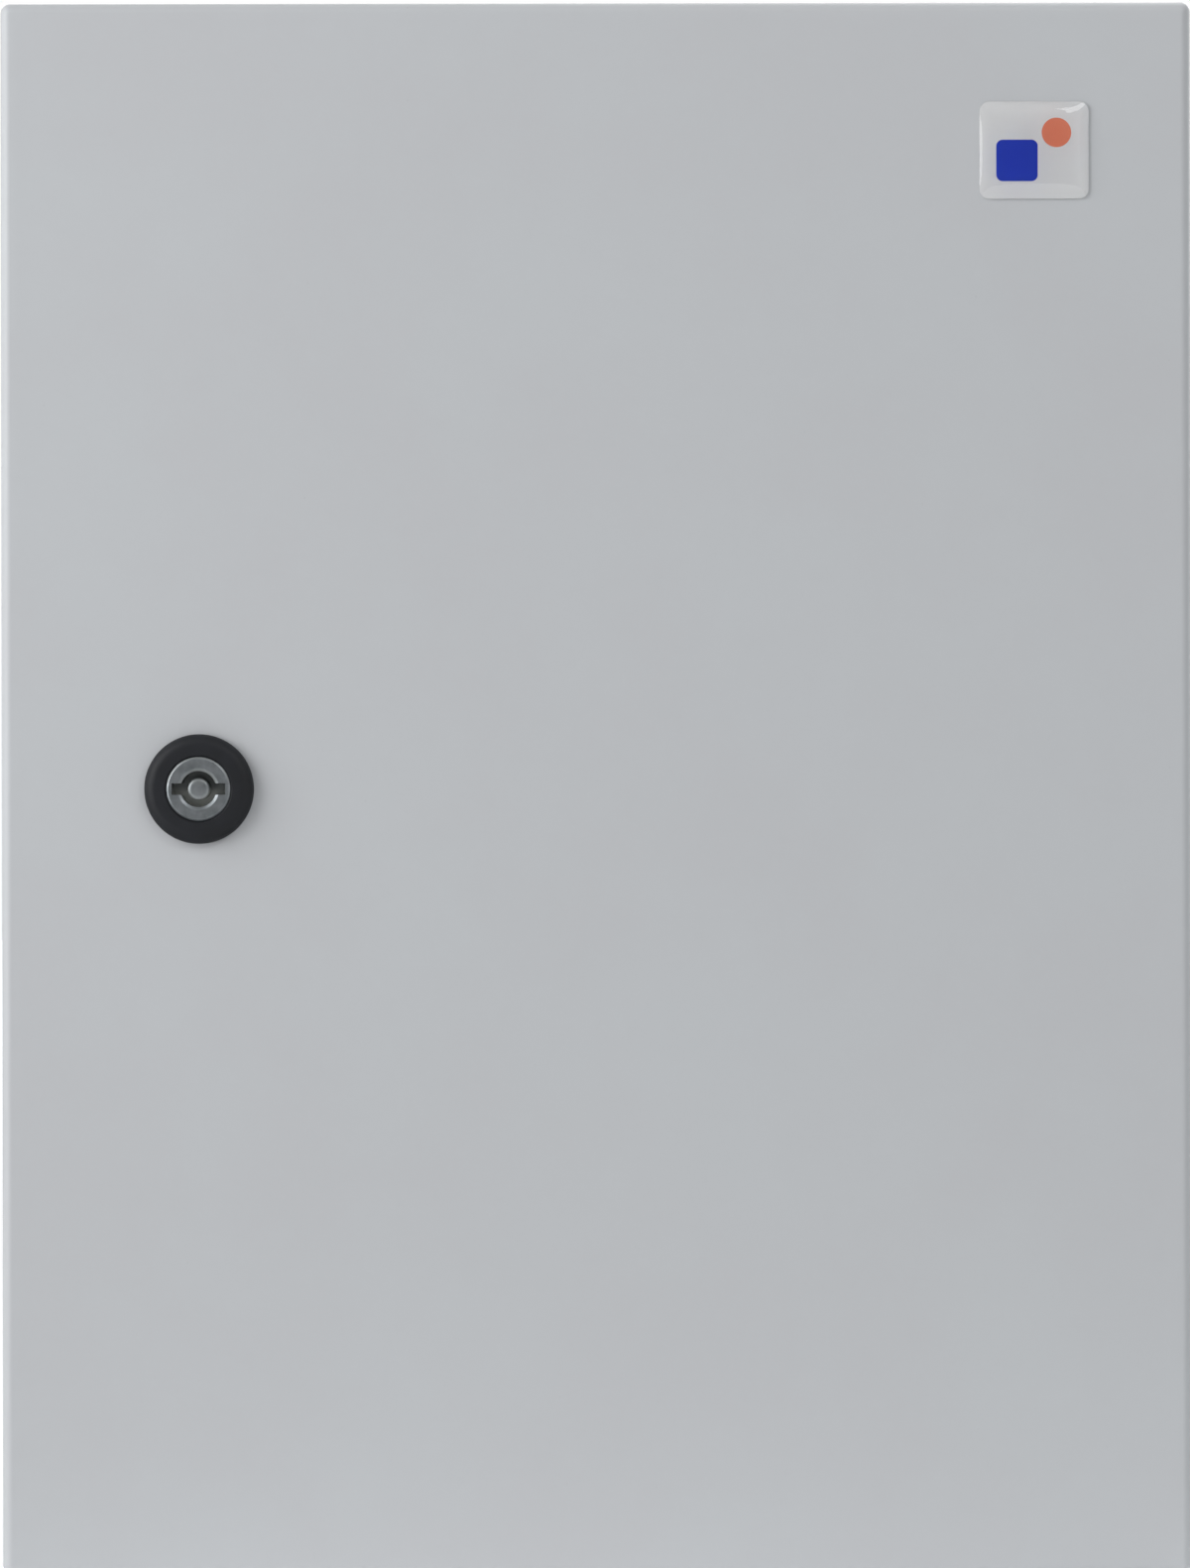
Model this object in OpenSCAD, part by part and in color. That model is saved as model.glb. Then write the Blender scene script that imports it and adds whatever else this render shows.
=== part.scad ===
// Wall-mounted sheet-steel enclosure: a folded body with a rain gutter, a hinged door
// on concealed hinges, a quarter-turn lock, a mounting plate and a gland plate.
// Millimetres. +Z is up, +Y points at the wall, and the origin is the middle of the wall face.

/* [Body] */
// Width of the body
body_w = 300; // [260:10:500]
// Height of the body
body_h = 400; // [340:10:700]
// Depth from the wall face to the front of the door
overall_d = 200; // [160:10:300]
// Thickness of the body and door sheet
sheet_t = 1.5; // [1.2:0.1:2]
// Outside radius of a folded edge
bend_r = 2.5; // [2.2:0.1:3.5]

/* [Front rim] */
// Width of the lip that the seal lands on
lip_w = 8.5; // [7.5:0.5:14]
// Depth of the fold that turns back from the lip
lip_fold = 8; // [5:0.5:12]
// Space between the gutter's upstand and the door's swinging edge
gutter_clear = 0.98; // [0.5:0.02:4]

/* [Door] */
// How far the door stops short of the body at its top and bottom
door_step = 2; // [0:0.5:4]
// Depth of the door's folded edge
door_return = 20; // [18:1:28]
// Gap between the door's folded edge and the gutter floor
door_gap = 3; // [2.5:0.5:5]
// Widest opening angle of the door
open_angle = 120; // [105:5:120]

/* [Door seal] */
// Width of the foam seal
seal_w = 12; // [9:0.5:14]
// Thickness of the foam seal
seal_t = 6; // [4:0.5:8]
// Corner radius of the seal's middle line
seal_corner = 14; // [10:1:30]
// Gap between the seal and the lip
seal_gap = 0.3; // [0.2:0.1:1]

/* [Hinges] */
// Distance from the end of the body to the middle of a hinge
hinge_inset = 65; // [50:5:110]
// Diameter of the hinge pin
pin_d = 4; // [3:0.5:5]
// Radial running clearance of the pin
pin_clear = 0.05; // [0.02:0.01:0.1]
// Thickness of the knuckle wall round the pin
knuckle_wall = 1.65; // [1.2:0.05:2.5]
// Clearance between a knuckle and the door's folded edge
knuckle_clear = 0.3; // [0.2:0.1:1]
// Height of the body's knuckle
knuckle_h = 14; // [10:1:20]
// Height of each of the door's two knuckles
ear_h = 8; // [5:0.5:12]
// End play between knuckles
knuckle_gap = 0.3; // [0.2:0.1:1]
// Clearance of the body's front corner from the open door
swing_clear = 0.9; // [0.5:0.1:2]
// Thickness of the hinge bracket's foot
foot_t = 2.5; // [2:0.5:3]
// Distance of each bracket screw from the middle of the hinge
foot_screw_z = 16.5; // [15:0.5:24]
// Thickness of the leaf welded to the door
leaf_t = 2; // [1.5:0.5:3]

/* [Lock] */
// Distance from the door's side to the lock's axis
lock_in = 50; // [44:0.5:70]
// Diameter of the threaded barrel
barrel_d = 22; // [21:0.5:24]
// Width of the bezel round the barrel
bezel_w = 2.8; // [2.6:0.1:6]
// Height of the bezel above the door
bezel_h = 4; // [3.5:0.5:6]
// Height of the bezel's straight rim, below its rounded shoulder
bezel_rim = 1; // [0.8:0.1:2]
// Width across flats of the lock nut
lock_nut_af = 27; // [26:1:32]
// Thickness of the lock nut
lock_nut_h = 6; // [4:0.5:8]
// Width across the flats of the barrel
barrel_flats = 20.1; // [19:0.1:20.5]
// Diameter of the turning insert
rotor_d = 16.2; // [15:0.1:17]
// Diameter of the socket round the key pin
socket_d = 9; // [8:0.1:10]
// Diameter of the key pin
key_pin_d = 5.7; // [4:0.1:6.2]
// Span of the two key slots
slot_span = 13.5; // [11:0.1:14]
// Width of the key slots
slot_w = 2.9; // [2:0.1:3.5]
// Depth of the socket
socket_depth = 8; // [6:0.5:9]
// Thickness of the cam
cam_t = 3; // [2:0.5:4]
// Width of the cam's hub
cam_w = 18; // [15:0.5:20]
// Width of the cam's tip
cam_tip_w = 14; // [12:0.5:18]
// Gap between the cam and the back of the gutter floor
cam_gap = 0.3; // [0.2:0.1:1]
// Clearance of the locked cam's tip from the side wall
cam_tip_clear = 4; // [2:0.5:8]

/* [Badge] */
// Width of the badge
badge_w = 27.5; // [20:0.5:60]
// Height of the badge
badge_h = 24.5; // [15:0.5:40]
// Corner radius of the badge
badge_corner = 2.5; // [1.5:0.1:5]
// Thickness of the badge with its dome
badge_t = 1.9; // [1.5:0.1:3]
// Distance from the door's hinge side to the middle of the badge
badge_in = 39.5; // [35:0.5:80]
// Distance from the top of the door to the middle of the badge
badge_down = 37.5; // [25:0.5:80]

/* [Mounting plate] */
// Thickness of the mounting plate
plate_t = 2; // [1.5:0.5:3]
// Clearance of the plate as it passes the door opening
plate_clear = 1.5; // [1:0.5:10]
// Distance from the back wall to the plate
plate_standoff = 12; // [8:1:30]
// Cut-off at the plate's corners, to reach the wall screws
plate_corner = 20; // [18:1:30]
// Distance of the plate's studs from its side
plate_stud_side = 12.5; // [11:0.5:20]
// Distance of the plate's studs from its top and bottom
plate_stud_end = 32; // [30:1:60]
// Thread diameter of the plate's studs
plate_stud_d = 8; // [6:1:8]

/* [Wall fixing] */
// Distance of the wall holes from the body's sides, top and bottom
wall_hole_in = 25; // [20:1:40]
// Diameter of the wall holes
wall_hole_d = 8.5; // [7:0.5:11]

/* [Gland plate] */
// Distance from the body's side to the gland opening
gland_side = 55; // [45:5:90]
// Distance from the wall face, and from the rim, to the gland opening
gland_end = 45; // [40:1:60]
// Overlap of the gland plate round its opening
gland_lap = 16; // [14:1:22]
// Thickness of the gland plate
gland_t = 1.5; // [1.5:0.5:3]
// Thickness of the gland plate's gasket
gland_seal_t = 2; // [1:0.5:4]
// Thread diameter of the gland plate's studs
gland_stud_d = 5; // [4:1:6]

/* [Earth studs] */
// Thread diameter of the body's earth stud
body_earth_d = 8; // [6:1:8]
// Thread diameter of the door's earth stud
door_earth_d = 6; // [5:1:8]
// Length of an earth stud
earth_len = 20; // [16:1:22]
// Height of the earth studs above the underside
earth_up = 60; // [40:5:90]

/* [Hidden] */
$fn = 64;

far = 30;          // how far a cutting tool runs past what it cuts
thread_clear = 0.05; // radial clearance between a thread and what is screwed onto it
hole_clear = 0.25;   // radial clearance of a plain hole round a screw or stud

paint = [0.74, 0.75, 0.755];
zinc = [0.72, 0.74, 0.76];
die_cast = [0.55, 0.56, 0.57];
black = [0.13, 0.14, 0.16];
foam = [0.16, 0.16, 0.17];

// ---- Where the door meets the body, worked out from the hinge ----
pin_r = pin_d/2;
bore_r = pin_r + pin_clear;
knuckle_r = bore_r + knuckle_wall;
hinge_in = sheet_t + knuckle_clear + knuckle_r; // from the body's side to the pin
// Set back of the gutter floor from the pin, so that the open door clears the body's front corner
hinge_set = (hinge_in + swing_clear + bend_r - (hinge_in - bend_r)*cos(open_angle))/sin(open_angle)
            - bend_r;
edge_back = hinge_set - door_gap;               // from the pin to the door's rear edge
swing_r = norm([hinge_in, edge_back]);          // the circle that edge swings in
gutter_w = hinge_in + swing_r + gutter_clear;
rim_in = gutter_w + lip_w;                      // from the body's side to its opening

door_w = body_w;
door_h = body_h - 2*door_step;
face_y = -overall_d;                            // front of the door
skin_y = face_y + sheet_t;                      // inside of the door's skin
edge_y = face_y + door_return;                  // rear edge of the door's fold
rim_y = edge_y + door_gap;                      // front of the gutter floor
lip_y = skin_y + seal_t + seal_gap;             // front of the lip
lip_f = rim_y - lip_y;                          // height of the lip above the gutter floor
back_y = -sheet_t;                              // inside of the back wall
hinge_x = body_w/2 - hinge_in;
hinge_y = rim_y - hinge_set;
hinge_z = body_h/2 - hinge_inset;
face_reach = hinge_y - skin_y;                  // from the pin to the inside of the door's skin
leaf_h = knuckle_h + 2*(knuckle_gap + ear_h);
seal_out = rim_in - lip_w/2 - seal_w/2;         // from the body's side to the seal

// Hinge bracket
screw_r = 2;                  // thread radius of the bracket screws
screw_socket = 2.9;           // across the corners of their hexagon socket
screw_socket_deep = 1.4;
screw_beyond = 5;             // how far they reach past the gutter floor
weld_nut_len = 7.5;
weld_nut_end = 1;             // thickness of a weld nut's closed end
fold_margin = 0.4;            // from a flat piece to the fold beside it
foot_out = hinge_in - bend_r - fold_margin;
foot_left = gutter_w - hinge_in - (bend_r - sheet_t) - fold_margin;
foot_x = (foot_out - foot_left)/2;
foot_beyond = 5.5;            // from a screw to the end of the foot
foot_h = 2*(foot_screw_z + foot_beyond);
foot_corner = 2;
foot_front = hinge_set - foot_t;
arm_out = 1.3;                // from the pin to the outer side of the bracket's arm
notch_clear = 0.9;            // round the bracket, in the door's folded edge
notch_reach = notch_clear + max(foot_out*sin(open_angle) - foot_front*cos(open_angle),
                                hinge_in*tan(open_angle - 90) + arm_out/cos(open_angle - 90));
notch_h = foot_h + 3*notch_clear;
notch_corner = 2;
leaf_seal_gap = 1;            // from the leaf to the seal

// Hinge pin
pin_top = leaf_h/2 + knuckle_gap;
head_over = 1.4;              // how far the head stands out beyond the shaft
head_h = 1.6;
clip_t = 0.8;
clip_over = 1.6;
pin_tail = 1.6;               // from the clip to the pin's end
pin_chamfer = 0.5;
groove_deep = 0.45;
clip_clear = 0.05;

// Lock, measured backwards from the front of the door
lock_x = -body_w/2 + lock_in;
lock_angle = 90;              // the quarter turn
barrel_r = barrel_d/2;
bezel_r = barrel_r + bezel_w;
bezel_round = bezel_h - bezel_rim;
rotor_r = rotor_d/2;
rotor_clear = 0.05;           // radial running clearance of the insert
rotor_sink = 0.1;             // from the bezel's face down to the insert's
rotor_face = rotor_sink - bezel_h;
rotor_edge = 0.5;             // chamfer round the insert's face
pin_sink = 0.7;               // from the insert's face down to the key pin's end
key_pin_edge = [1, 0.6];      // width and height of the chamfer round the key pin's end
socket_edge = [0.7, 0.4];     // width and depth of the chamfer round the socket
disc_t = 1.5;                 // thickness of the stop disc
disc_clear = 0.05;            // axial clearance on each side of the stop disc
cam_front = rim_y + sheet_t + cam_gap - face_y;
barrel_len = cam_front - disc_t - 2*disc_clear;
neck_len = 8;
neck_in = 1.6;                // how much smaller the neck's radius is than the insert's
neck_r = rotor_r - neck_in;
rotor_step = barrel_len - neck_len;
square_w = 8;                 // the square that drives the disc and the cam
square_short = 0.2;           // how far it stops inside the cam's far side
square_clear = 0.05;
cam_len = lock_in - sheet_t - cam_tip_clear;
cam_tip_len = 22;
cam_tip_r = 3;
ramp_w = 4;
ramp_h = 1.5;
cam_screw_r = 3;
cam_screw_len = 13;
cam_screw_af = 10;
cam_screw_head = 4;
cam_screw_spare = 2.6;        // thread left below the screw's end
cam_washer_r = 6;
ring_r = 0.9;                 // section of the ring that seals the insert
ring_behind = 3;              // from the bottom of the socket to that ring
ring_squash = 0.02;
lock_seal_t = 1;
lock_seal_clear = 0.05;
lock_seal_in = 0.5;           // width left between the barrel and the groove
lock_seal_out = 0.8;          // width left between the groove and the bezel's edge
stop_arm = 30;                // angle that the disc's arm takes up
stop_rest = 225;              // where the arm stands when unlocked
stop_slack = 1.5;             // angle left to the collar at each end of the turn
stop_clear = 0.2;             // between the disc and the collar
collar_short = 0.1;           // between the collar and the cam

// Badge
label_t = 0.3;                // thickness of the printed label, under the clear dome
badge_edge = 1.4;             // radius round the dome's edge

// Mounting plate
plate_w = body_w - 2*(rim_in + plate_clear);
plate_h = body_h - 2*(rim_in + plate_clear);
plate_x = plate_w/2 - plate_stud_side;
plate_z = plate_h/2 - plate_stud_end;
plate_front = plate_standoff + plate_t;
spacer_wall = 3;
stud_spare = 4;               // thread left beyond a nut

// Gland plate
gland_w = body_w - 2*gland_side;
gland_d = -rim_y - 2*gland_end;
gland_y = rim_y/2;
gland_corner = 5;
gland_stud_x = gland_w/2 + gland_lap/2;
gland_stud_y = gland_d/2 + gland_lap/2;
gland_top = gland_seal_t + gland_t;
gland_seal_set = 1;           // how far the gasket stays inside the plate and off the opening
gland_washer_t = 1;
gland_spare = 2.5;
floor_z = -body_h/2 + sheet_t;

// Earth studs
earth_z = -body_h/2 + earth_up;
body_earth_x = (body_w/2 - sheet_t + plate_w/2)/2;
door_earth_in = 20;           // from the rim's opening to the door's stud
door_earth_x = body_w/2 - rim_in - door_earth_in;
washer_t = 1.6;
stud_chamfer = 0.8;
nut_chamfer = 0.5;

// ---- Shapes used by several pieces ----

// A rectangle with rounded corners, centred
module rounded_square(w, h, r) {
  square([w - 2*r, h], center = true);
  square([w, h - 2*r], center = true);
  for (sx = [-1, 1], sy = [-1, 1])
    translate([sx*(w/2 - r), sy*(h/2 - r)]) circle(r = r);
}

// A block whose twelve edges are all rounded, centred in X and Z
module soft_block(w, h, y_front, y_back, r) {
  d = y_back - y_front;
  translate([-w/2 + r, y_front, -h/2 + r]) cube([w - 2*r, d, h - 2*r]);
  translate([-w/2, y_front + r, -h/2 + r]) cube([w, d - 2*r, h - 2*r]);
  translate([-w/2 + r, y_front + r, -h/2]) cube([w - 2*r, d - 2*r, h]);
  for (sx = [-1, 1], sz = [-1, 1]) {
    translate([sx*(w/2 - r), y_front + r, sz*(h/2 - r)])
      rotate([-90, 0, 0]) cylinder(r = r, h = d - 2*r);
    for (y = [y_front + r, y_back - r])
      translate([sx*(w/2 - r), y, sz*(h/2 - r)]) sphere(r = r);
  }
  for (s = [-1, 1], y = [y_front + r, y_back - r]) {
    translate([s*(w/2 - r), y, -h/2 + r]) cylinder(r = r, h = h - 2*r);
    translate([-w/2 + r, y, s*(h/2 - r)]) rotate([0, 90, 0]) cylinder(r = r, h = w - 2*r);
  }
}

// Extrudes an outline drawn in X and Z from y_front to y_back
module along_y(y_front, y_back)
  translate([0, y_back, 0]) rotate([90, 0, 0]) linear_extrude(y_back - y_front) children();

// Extrudes an outline drawn in Y and Z, centred on x
module along_x(x, w)
  translate([x - w/2, 0, 0]) rotate([90, 0, 90]) linear_extrude(w) children();

// Puts a piece built along +Z onto a wall, so that it points to the front, or to the back
module facing_front(x, y, z) translate([x, y, z]) rotate([90, 0, 0]) children();
module facing_back(x, y, z) translate([x, y, z]) rotate([-90, 0, 0]) children();

// A tube or ring
module ring(r_out, r_in, h) difference() {
  cylinder(r = r_out, h = h);
  translate([0, 0, -1]) cylinder(r = r_in, h = h + 2);
}

// A hexagon nut or head with both faces chamfered; af is the width across flats
module hexagon(af, h) {
  corner_r = af/2/cos(30);
  drop = (corner_r - af/2)*tan(30);
  intersection() {
    cylinder(r = corner_r, h = h, $fn = 6);
    rotate_extrude() polygon([[0, 0], [af/2, 0], [corner_r + 0.01, drop],
                              [corner_r + 0.01, h - drop], [af/2, h], [0, h]]);
  }
}

module nut(af, h, thread_r) difference() {
  hexagon(af, h);
  translate([0, 0, -1]) cylinder(r = thread_r + thread_clear, h = h + 2);
  for (end = [0, 1]) translate([0, 0, end*h]) mirror([0, 0, end])
    translate([0, 0, -nut_chamfer])
      cylinder(r1 = thread_r + 2*nut_chamfer, r2 = thread_r, h = 2*nut_chamfer);
}

// A stud with a chamfered end, welded on at its base
module stud(d, length) rotate_extrude()
  polygon([[0, 0], [d/2, 0], [d/2, length - stud_chamfer], [d/2 - stud_chamfer, length], [0, length]]);

// Sizes of a standard nut and washer for a thread diameter
function nut_af(d) = d <= 4 ? 7 : d <= 5 ? 8 : d <= 6 ? 10 : d <= 7 ? 11 : 13;
function nut_h(d) = 0.8*d;

module washer(d, t = washer_t) ring(d, d/2 + hole_clear, t);

// Where the paired and cornered pieces sit
module at_hinges() for (s = [1, -1]) translate([hinge_x, hinge_y, s*hinge_z]) children();
module at_hinge(s) translate([hinge_x, hinge_y, s*hinge_z]) children();
module at_corners(x, z) for (sx = [-1, 1], sz = [-1, 1]) translate([sx*x, 0, sz*z]) children();
module at_gland_studs() for (x = [-gland_stud_x, 0, gland_stud_x], s = [-1, 1])
  translate([x, gland_y + s*gland_stud_y, 0]) children();
module at_bracket_screws() for (s = [-1, 1]) translate([foot_x, 0, s*foot_screw_z]) children();
module at_lock() facing_back(lock_x, face_y, 0) children();

// ---- Body ----

// A quarter of a folded corner, from the given angle to 90 degrees further
module fold_arc(turn) rotate(turn) intersection() {
  difference() {
    circle(r = bend_r);
    circle(r = bend_r - sheet_t);
  }
  square(bend_r + 1);
}

// Section of the rim, with X inwards from the body's side and Y forwards from the gutter floor:
// up from the gutter, over the lip and back down
module rim_profile() {
  translate([gutter_w + sheet_t - bend_r, bend_r - sheet_t]) fold_arc(-90);
  translate([gutter_w, bend_r - sheet_t]) square([sheet_t, lip_f + sheet_t - 2*bend_r]);
  translate([gutter_w + bend_r, lip_f - bend_r]) fold_arc(90);
  translate([gutter_w + bend_r, lip_f - sheet_t]) square([lip_w - 2*bend_r, sheet_t]);
  translate([rim_in - bend_r, lip_f - bend_r]) fold_arc(0);
  translate([rim_in - sheet_t, lip_f - lip_fold]) square([sheet_t, lip_fold - bend_r]);
}

// One side of the rim, cut to a mitre at both ends
module rim_side(w, h) intersection() {
  translate([w/2, rim_y, -h/2]) linear_extrude(h) rotate(180) rim_profile();
  along_y(lip_y - far, rim_y + far)
    polygon([[w/2, h/2], [w/2 - rim_in - 1, h/2 - rim_in - 1],
             [w/2 - rim_in - 1, -h/2 + rim_in + 1], [w/2, -h/2]]);
}

module rim() for (k = [0:3]) rotate([0, 90*k, 0])
  rim_side(k % 2 == 0 ? body_w : body_h, k % 2 == 0 ? body_h : body_w);

module enclosure_body() color(paint) {
  fold_start = gutter_w + sheet_t - bend_r;
  difference() {
    soft_block(body_w, body_h, rim_y, 0, bend_r);
    soft_block(body_w - 2*sheet_t, body_h - 2*sheet_t, rim_y + sheet_t, back_y, bend_r - sheet_t);
    along_y(rim_y - 1, rim_y + 2*sheet_t)
      square([body_w - 2*fold_start, body_h - 2*fold_start], center = true);
    at_corners(body_w/2 - wall_hole_in, body_h/2 - wall_hole_in)
      facing_front(0, 1, 0) cylinder(d = wall_hole_d, h = sheet_t + 2);
    translate([0, gland_y, -body_h/2 - 1]) linear_extrude(sheet_t + 2)
      rounded_square(gland_w, gland_d, gland_corner);
    at_hinges() at_bracket_screws()
      facing_back(0, hinge_set - 1, 0) cylinder(r = screw_r + hole_clear, h = sheet_t + 2);
  }
  rim();
}

// ---- Mounting plate and what holds it ----

module mounting_plate() color(zinc)
  along_y(back_y - plate_front, back_y - plate_standoff) difference() {
    polygon([for (q = [[1, 1], [-1, 1], [-1, -1], [1, -1]], k = [0, 1])
             let (first = (q[0]*q[1] > 0) == (k == 0))
             [q[0]*(plate_w/2 - (first ? 0 : plate_corner)),
              q[1]*(plate_h/2 - (first ? plate_corner : 0))]]);
    for (sx = [-1, 1], sz = [-1, 1])
      translate([sx*plate_x, sz*plate_z]) circle(r = plate_stud_d/2 + hole_clear);
  }

module plate_studs() color(zinc) at_corners(plate_x, plate_z) facing_front(0, back_y, 0)
  stud(plate_stud_d, plate_front + washer_t + nut_h(plate_stud_d) + stud_spare);

module plate_spacers() color(zinc) at_corners(plate_x, plate_z)
  facing_front(0, back_y, 0)
    ring(plate_stud_d/2 + spacer_wall, plate_stud_d/2 + hole_clear, plate_standoff);

module plate_washers() color(zinc) at_corners(plate_x, plate_z)
  facing_front(0, back_y - plate_front, 0) washer(plate_stud_d);

module plate_nuts() color(zinc) at_corners(plate_x, plate_z)
  facing_front(0, back_y - plate_front - washer_t, 0)
    nut(nut_af(plate_stud_d), nut_h(plate_stud_d), plate_stud_d/2);

// ---- Gland plate, laid over its opening from inside ----

module gland_outline(inset) difference() {
  rounded_square(gland_w + 2*gland_lap - 2*inset, gland_d + 2*gland_lap - 2*inset, gland_corner);
  for (x = [-gland_stud_x, 0, gland_stud_x], s = [-1, 1])
    translate([x, s*gland_stud_y]) circle(r = gland_stud_d/2 + hole_clear);
}

module gland_plate() color(paint)
  translate([0, gland_y, floor_z + gland_seal_t]) linear_extrude(gland_t) gland_outline(0);

module gland_gasket() color(foam)
  translate([0, gland_y, floor_z]) linear_extrude(gland_seal_t) difference() {
    gland_outline(gland_seal_set);
    rounded_square(gland_w + 2*gland_seal_set, gland_d + 2*gland_seal_set, gland_corner);
  }

module gland_studs() color(zinc) translate([0, 0, floor_z]) at_gland_studs()
  stud(gland_stud_d, gland_top + gland_washer_t + nut_h(gland_stud_d) + gland_spare);

module gland_washers() color(zinc) translate([0, 0, floor_z + gland_top]) at_gland_studs()
  washer(gland_stud_d, gland_washer_t);

module gland_nuts() color(zinc) translate([0, 0, floor_z + gland_top + gland_washer_t])
  at_gland_studs() nut(nut_af(gland_stud_d), nut_h(gland_stud_d), gland_stud_d/2);

// ---- Earth studs: a washer on each side of the lug's place, then the nut ----

module earth_washers(d) for (z = [0, washer_t]) translate([0, 0, z]) washer(d);
module earth_nut(d) translate([0, 0, 2*washer_t]) nut(nut_af(d), nut_h(d), d/2);

module body_earth_stud() color("darkgoldenrod")
  facing_front(body_earth_x, back_y, earth_z) stud(body_earth_d, earth_len);
module body_earth_washers() color(zinc)
  facing_front(body_earth_x, back_y, earth_z) earth_washers(body_earth_d);
module body_earth_nut() color(zinc)
  facing_front(body_earth_x, back_y, earth_z) earth_nut(body_earth_d);

module door_earth_stud() color("darkgoldenrod")
  facing_back(door_earth_x, skin_y, earth_z) stud(door_earth_d, earth_len);
module door_earth_washers() color(zinc)
  facing_back(door_earth_x, skin_y, earth_z) earth_washers(door_earth_d);
module door_earth_nut() color(zinc)
  facing_back(door_earth_x, skin_y, earth_z) earth_nut(door_earth_d);

// ---- Hinges: X and Y from the pin, Y backwards ----

module hinge_bracket(s) color(zinc) at_hinge(s) difference() {
  union() {
    translate([foot_x, 0, 0]) along_y(foot_front, hinge_set)
      rounded_square(foot_out + foot_left, foot_h, foot_corner);
    translate([-knuckle_r, 0, -knuckle_h/2]) cube([knuckle_r + arm_out, foot_front, knuckle_h]);
    translate([0, 0, -knuckle_h/2]) cylinder(r = knuckle_r, h = knuckle_h);
  }
  cylinder(r = bore_r, h = foot_h, center = true);
  at_bracket_screws() facing_back(0, foot_front, 0) {
    translate([0, 0, -1]) cylinder(r = screw_r + hole_clear, h = foot_t + 2);
    cylinder(r1 = 2*screw_r + hole_clear, r2 = screw_r + hole_clear, h = screw_r);
  }
}

module hinge_leaf(s) color(zinc) at_hinge(s) {
  leaf_left = seal_out - leaf_seal_gap - hinge_in;
  translate([-leaf_left, -face_reach, -leaf_h/2]) cube([leaf_left + foot_out, leaf_t, leaf_h]);
  for (k = [-1, 1]) translate([0, 0, k*(leaf_h - ear_h)/2]) difference() {
    union() {
      cylinder(r = knuckle_r, h = ear_h, center = true);
      translate([-knuckle_r, -face_reach, -ear_h/2]) cube([knuckle_r + foot_out, face_reach, ear_h]);
    }
    cylinder(r = bore_r, h = ear_h + 2, center = true);
  }
}

// The pin's section: a chamfered tail below the clip, and a head on top
module hinge_pin(s) color(zinc) at_hinge(s) difference() {
  tail = -pin_top - clip_t - pin_tail;
  head = pin_top + head_h;
  rotate_extrude() polygon([[0, tail], [pin_r - pin_chamfer, tail], [pin_r, tail + pin_chamfer],
    [pin_r, pin_top], [pin_r + head_over, pin_top], [pin_r + head_over, head - pin_chamfer],
    [pin_r + head_over - pin_chamfer, head], [0, head]]);
  translate([0, 0, -pin_top - clip_t - clip_clear])
    ring(pin_r + 1, pin_r - groove_deep, clip_t + 2*clip_clear);
}

module hinge_pin_clips() color(zinc) at_hinges()
  translate([0, 0, -pin_top - clip_t]) linear_extrude(clip_t) difference() {
    inside = pin_r - groove_deep + clip_clear;
    circle(r = pin_r + clip_over);
    circle(r = inside);
    translate([-inside, 0]) square([2*inside, 2*(pin_r + clip_over)]);
  }

module hinge_screws() color(zinc) at_hinges() at_bracket_screws()
  facing_back(0, foot_front, 0) difference() {
    union() {
      cylinder(r1 = 2*screw_r, r2 = screw_r, h = screw_r);
      cylinder(r = screw_r, h = foot_t + sheet_t + screw_beyond);
    }
    translate([0, 0, -1]) cylinder(d = screw_socket, h = screw_socket_deep + 1, $fn = 6);
  }

module hinge_weld_nuts() color(zinc) at_hinges() at_bracket_screws()
  facing_back(0, hinge_set + sheet_t, 0) difference() {
    cylinder(r = 2*screw_r, h = weld_nut_len);
    translate([0, 0, -1]) cylinder(r = screw_r + thread_clear, h = weld_nut_len + 1 - weld_nut_end);
  }

// ---- Door ----

// The barrel's outline, with two flats that stop it turning in the door
module barrel_outline(clear) intersection() {
  circle(r = barrel_r + clear);
  square([2*barrel_r + 1, barrel_flats + 2*clear], center = true);
}

module door_panel() color(paint) difference() {
  soft_block(door_w, door_h, face_y, edge_y + 2*bend_r, bend_r);
  soft_block(door_w - 2*sheet_t, door_h - 2*sheet_t, skin_y, edge_y + 4*bend_r, bend_r - sheet_t);
  translate([-door_w/2 - 1, edge_y, -door_h/2 - 1]) cube([door_w + 2, far, door_h + 2]);
  for (s = [-1, 1]) translate([0, hinge_y - notch_reach, s*hinge_z]) along_x(door_w/2, 4*sheet_t)
    translate([far/2, 0]) rounded_square(far, notch_h, notch_corner);
  at_lock() translate([0, 0, -1]) linear_extrude(sheet_t + 2) barrel_outline(hole_clear);
}

// Section of the foam bead: flat on the door, round towards the lip
module seal_profile() {
  r = seal_t/2;
  translate([-seal_w/2, 0]) square([seal_w, seal_t - r]);
  translate([-seal_w/2 + r, 0]) square([seal_w - 2*r, seal_t]);
  for (s = [-1, 1]) translate([s*(seal_w/2 - r), seal_t - r]) circle(r = r);
}

module door_seal() color(foam) {
  mid = seal_out + seal_w/2;
  for (k = [0:3]) rotate([0, 90*k, 0]) {
    w = (k % 2 == 0 ? body_w : body_h) - 2*mid;
    h = (k % 2 == 0 ? body_h : body_w) - 2*mid;
    translate([w/2, skin_y, -h/2 + seal_corner]) linear_extrude(h - 2*seal_corner) seal_profile();
    translate([w/2 - seal_corner, skin_y, -h/2 + seal_corner]) rotate([-90, 0, 0])
      rotate_extrude(angle = 90) translate([seal_corner, 0]) seal_profile();
  }
}

module at_badge() translate([door_w/2 - badge_in, 0, door_h/2 - badge_down]) children();

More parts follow.
